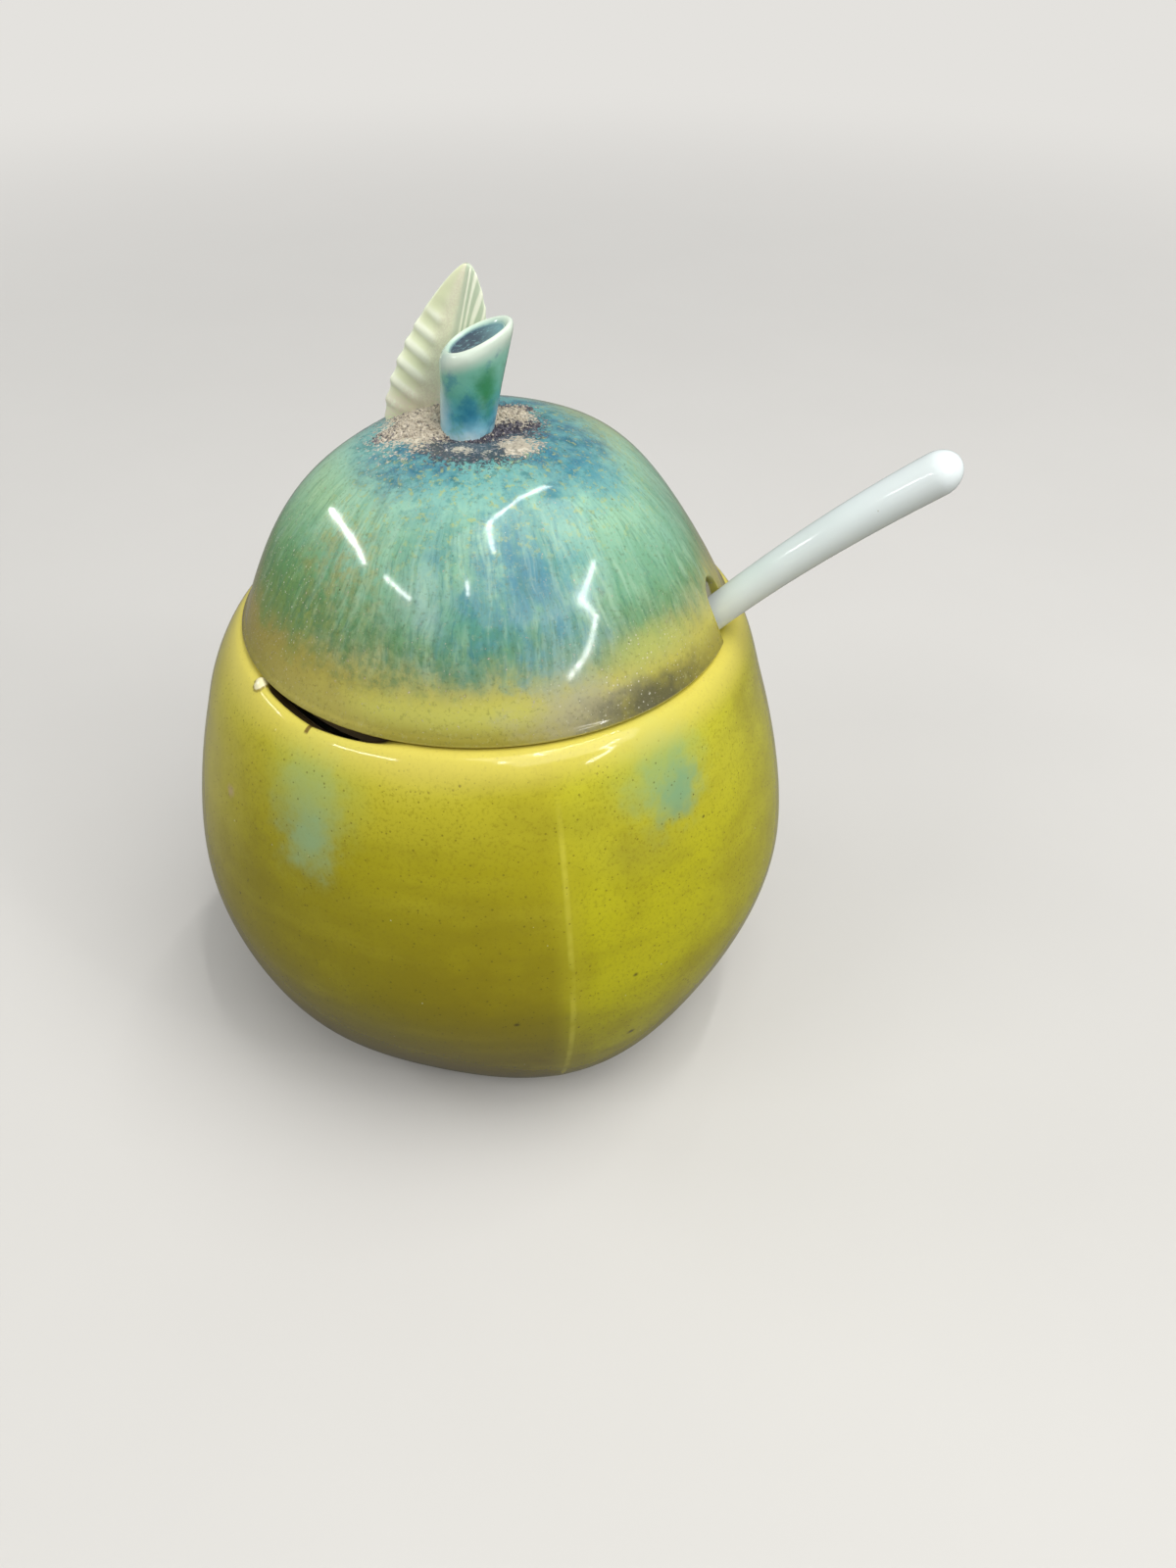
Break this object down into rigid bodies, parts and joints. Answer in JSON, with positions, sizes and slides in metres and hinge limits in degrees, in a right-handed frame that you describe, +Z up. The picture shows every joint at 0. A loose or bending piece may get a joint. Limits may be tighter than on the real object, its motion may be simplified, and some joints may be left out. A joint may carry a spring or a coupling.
{
  "type": "lidded bowl",
  "caption": "Pear-shaped glazed ceramic pot: a round bowl, a lift-off lid with a stem and leaf for a knob, and a spoon that leans out through a notch in the lid's edge.",
  "frame": {"origin": "middle of the flat foot, on the surface the pot stands on", "axes": "+Z up along the pot's axis, +X along the spoon, over the notch in the lid's edge"},
  "size_m": [0.1189, 0.102, 0.1276],
  "materials": {
    "bowl_glaze": "glossy olive-yellow glaze with fine brown speckle and soft teal patches, bare clay under the foot",
    "lid_glaze": "glossy running glaze, teal and blue streaks over green, olive-yellow at the edge",
    "stem_glaze": "glossy teal glaze, pale at the lip, dark dry cut on top",
    "leaf_glaze": "glossy pale yellow-green glaze, lighter on the veins",
    "spoon_glaze": "glossy white glaze"
  },
  "bodies": {
    "bowl": {"bowl": "bowl_glaze"},
    "spoon": {"spoon": "spoon_glaze"},
    "lid": {"lid": "lid_glaze", "stem": "stem_glaze", "leaf": "leaf_glaze"}
  },
  "joints": [
    {"name": "spoon_lift", "type": "slide", "parent": "bowl", "child": "spoon", "axis": [0, 0, 1], "range_m": [0, 0.09]},
    {"name": "lid_lift", "type": "slide", "parent": "spoon", "child": "lid", "axis": [0, 0, 1], "range_m": [0, 0.06]}
  ]
}
